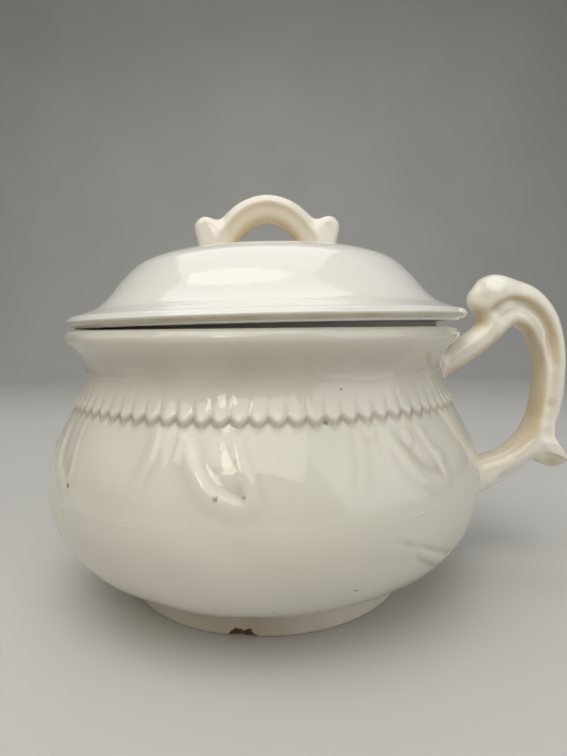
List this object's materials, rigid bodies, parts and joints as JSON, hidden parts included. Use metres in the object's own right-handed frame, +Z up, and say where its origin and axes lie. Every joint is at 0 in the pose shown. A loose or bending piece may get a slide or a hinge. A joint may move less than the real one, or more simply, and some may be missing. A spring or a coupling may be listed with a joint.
{
  "type": "chamber pot",
  "caption": "Covered ceramic chamber pot: a round bowl on a foot ring, with a fluted band under the rim, a scroll handle and a loose domed lid with an arched grip.",
  "frame": {"origin": "middle of the foot ring, on the surface that the pot stands on", "axes": "+Z up along the axis of the bowl, +X towards the handle of the pot, +Y to the left of someone who looks along +X"},
  "size_m": [0.2737, 0.2192, 0.1995],
  "materials": {
    "body_glaze": "glossy cream glaze",
    "handle_glaze": "glossy ivory glaze",
    "lid_glaze": "glossy white glaze"
  },
  "bodies": {
    "pot": {"pot_body": "body_glaze", "foot_ring": "body_glaze", "pot_handle": "handle_glaze"},
    "lid": {"lid_cover": "lid_glaze", "lid_flange": "lid_glaze", "lid_handle": "handle_glaze"}
  },
  "joints": [
    {"name": "lid_lift", "type": "slide", "parent": "pot", "child": "lid", "axis": [0, 0, 1], "range_m": [0, 0.12]}
  ]
}
